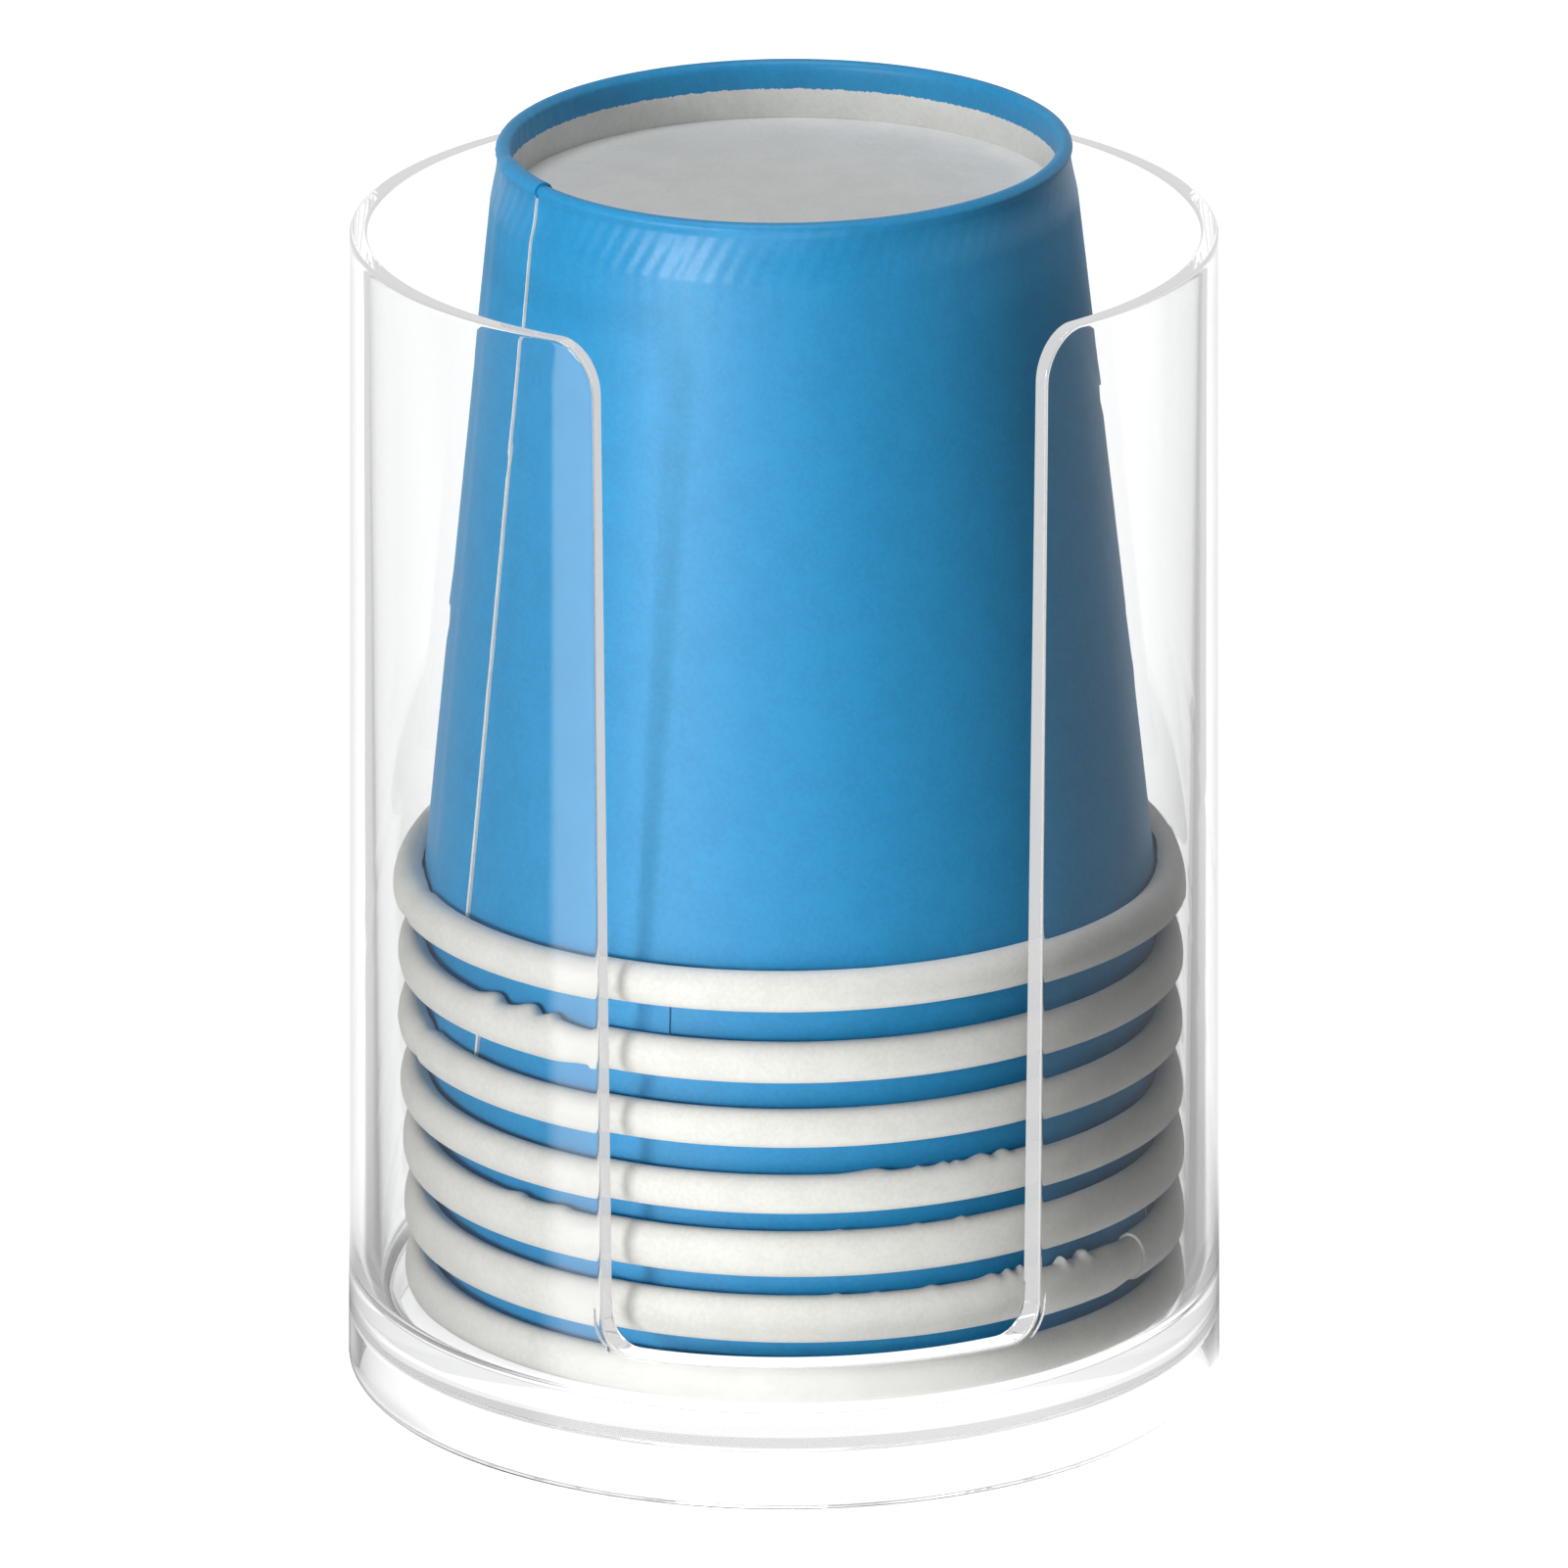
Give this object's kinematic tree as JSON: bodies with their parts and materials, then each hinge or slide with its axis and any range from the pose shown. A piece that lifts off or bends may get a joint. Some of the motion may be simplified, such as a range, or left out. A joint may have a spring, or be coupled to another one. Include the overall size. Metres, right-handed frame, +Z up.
{
  "type": "cup dispenser",
  "caption": "Clear round counter-top dispenser with a tall front slot, holding a nested stack of upside-down paper cups that lift out through its open top.",
  "frame": {"origin": "centre of the foot's resting face, on the axis of the round body", "axes": "+Z up along the axis of the body and of the cups; the slot faces -Y"},
  "size_m": [0.078, 0.078, 0.1132],
  "materials": {
    "clear_plastic": "clear polished moulded plastic",
    "printed_paper": "blue flexo print on white coated paper, satin",
    "plain_paper": "unprinted coated paper, satin"
  },
  "bodies": {
    "dispenser": {"dispenser_body": "clear_plastic"},
    "cup_1": {"cup_1_sidewall": "printed_paper", "cup_1_base_disc": "plain_paper"},
    "cup_2": {"cup_2_sidewall": "printed_paper", "cup_2_base_disc": "plain_paper"},
    "cup_3": {"cup_3_sidewall": "printed_paper", "cup_3_base_disc": "plain_paper"},
    "cup_4": {"cup_4_sidewall": "printed_paper", "cup_4_base_disc": "plain_paper"},
    "cup_5": {"cup_5_sidewall": "printed_paper", "cup_5_base_disc": "plain_paper"},
    "cup_6": {"cup_6_sidewall": "printed_paper", "cup_6_base_disc": "plain_paper"},
    "cup_7": {"cup_7_sidewall": "printed_paper", "cup_7_base_disc": "plain_paper"}
  },
  "joints": [
    {"name": "cup_1_lift", "type": "slide", "parent": "dispenser", "child": "cup_1", "axis": [0, 0, 1], "range_m": [0, 0.0998]},
    {"name": "cup_2_lift", "type": "slide", "parent": "cup_1", "child": "cup_2", "axis": [0, 0, 1], "range_m": [0, 0.0939]},
    {"name": "cup_3_lift", "type": "slide", "parent": "cup_2", "child": "cup_3", "axis": [0, 0, 1], "range_m": [0, 0.0879]},
    {"name": "cup_4_lift", "type": "slide", "parent": "cup_3", "child": "cup_4", "axis": [0, 0, 1], "range_m": [0, 0.0819]},
    {"name": "cup_5_lift", "type": "slide", "parent": "cup_4", "child": "cup_5", "axis": [0, 0, 1], "range_m": [0, 0.076]},
    {"name": "cup_6_lift", "type": "slide", "parent": "cup_5", "child": "cup_6", "axis": [0, 0, 1], "range_m": [0, 0.0721]},
    {"name": "cup_7_lift", "type": "slide", "parent": "cup_6", "child": "cup_7", "axis": [0, 0, 1], "range_m": [0, 0.0721]}
  ]
}
